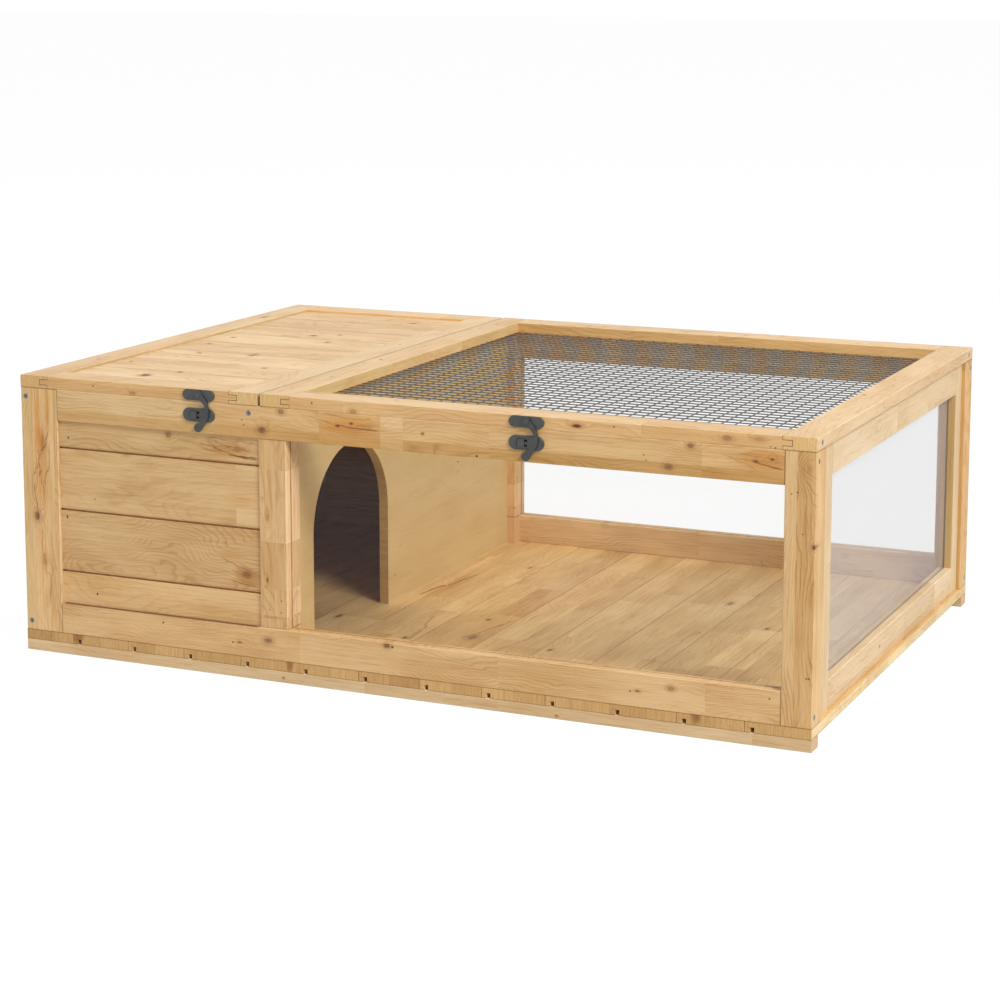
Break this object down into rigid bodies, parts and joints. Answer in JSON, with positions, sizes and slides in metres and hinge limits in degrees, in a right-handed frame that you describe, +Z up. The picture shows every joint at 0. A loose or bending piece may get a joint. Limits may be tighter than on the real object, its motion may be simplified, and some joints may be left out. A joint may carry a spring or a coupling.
{
  "type": "tortoise house",
  "caption": "Low wooden tortoise house: a boarded hide opens by an arched doorway into a windowed run, under hinged lids of boarding and wire mesh held by swing-arm latches.",
  "frame": {"origin": "centre of the bounding box in plan, at the level of the surface that the base battens stand on", "axes": "+X along the length from the boarded hide to the windowed run, +Y from the latched front to the hinged back, +Z up"},
  "size_m": [1, 0.7028, 0.342],
  "materials": {
    "fir_frame": "planed, clear oiled",
    "fir_board": "planed, clear oiled",
    "fir_floor": "planed",
    "clear_pane": "clear, polished",
    "mesh_wire": "galvanised, welded",
    "latch_steel": "dark blued, satin",
    "hinge_steel": "zinc plated",
    "zinc_screw": "zinc plated"
  },
  "bodies": {
    "house": {"base_batten_front": "fir_frame", "base_batten_rear": "fir_frame", "divider_beam": "fir_frame", "floor_boards": "fir_floor", "frame_screws": "zinc_screw", "front_board_1": "fir_board", "front_board_2": "fir_board", "front_board_3": "fir_board", "front_board_4": "fir_board", "front_bottom_rail": "fir_frame", "front_left_stile": "fir_frame", "front_mid_stile": "fir_frame", "front_pane": "clear_pane", "front_right_post": "fir_frame", "front_top_rail": "fir_frame", "hinge_frame_leaves": "hinge_steel", "hinge_pins": "hinge_steel", "latch_keeper_left": "latch_steel", "latch_keeper_right": "latch_steel", "left_boards": "fir_board", "left_bottom_rail": "fir_frame", "left_top_rail": "fir_frame", "partition": "fir_board", "rear_boards": "fir_board", "rear_bottom_rail": "fir_frame", "rear_left_stile": "fir_frame", "rear_mid_stile": "fir_frame", "rear_pane": "clear_pane", "rear_right_post": "fir_frame", "rear_top_rail": "fir_frame", "right_bottom_rail": "fir_frame", "right_front_stile": "fir_frame", "right_pane": "clear_pane", "right_rear_stile": "fir_frame", "right_top_rail": "fir_frame"},
    "lid_left": {"latch_plate_left": "latch_steel", "lid_left_board_1": "fir_board", "lid_left_board_2": "fir_board", "lid_left_board_3": "fir_board", "lid_left_board_4": "fir_board", "lid_left_board_5": "fir_board", "lid_left_board_6": "fir_board", "lid_left_board_7": "fir_board", "lid_left_board_8": "fir_board", "lid_left_front_rail": "fir_frame", "lid_left_hinge_leaves": "hinge_steel", "lid_left_left_rail": "fir_frame", "lid_left_rear_rail": "fir_frame", "lid_left_right_rail": "fir_frame", "lid_left_screws": "zinc_screw"},
    "lid_right": {"latch_plate_right": "latch_steel", "lid_right_front_rail": "fir_frame", "lid_right_hinge_leaves": "hinge_steel", "lid_right_left_rail": "fir_frame", "lid_right_mesh": "mesh_wire", "lid_right_rear_rail": "fir_frame", "lid_right_right_rail": "fir_frame", "lid_right_screws": "zinc_screw"},
    "arm_left": {"latch_arm_left": "latch_steel"},
    "arm_right": {"latch_arm_right": "latch_steel"}
  },
  "joints": [
    {"name": "lid_left_hinge", "type": "hinge", "parent": "house", "child": "lid_left", "pos_m": [-0.336, 0.3488, 0.327], "axis": [-1, 0, 0], "range_deg": [0, 180]},
    {"name": "lid_right_hinge", "type": "hinge", "parent": "house", "child": "lid_right", "pos_m": [0.16575, 0.3488, 0.327], "axis": [-1, 0, 0], "range_deg": [0, 180]},
    {"name": "arm_left_pivot", "type": "hinge", "parent": "lid_left", "child": "arm_left", "pos_m": [-0.25, -0.34925, 0.3345], "axis": [0, -1, 0], "range_deg": [0, 120]},
    {"name": "arm_right_pivot", "type": "hinge", "parent": "lid_right", "child": "arm_right", "pos_m": [0.168, -0.34925, 0.3345], "axis": [0, -1, 0], "range_deg": [0, 120]}
  ]
}
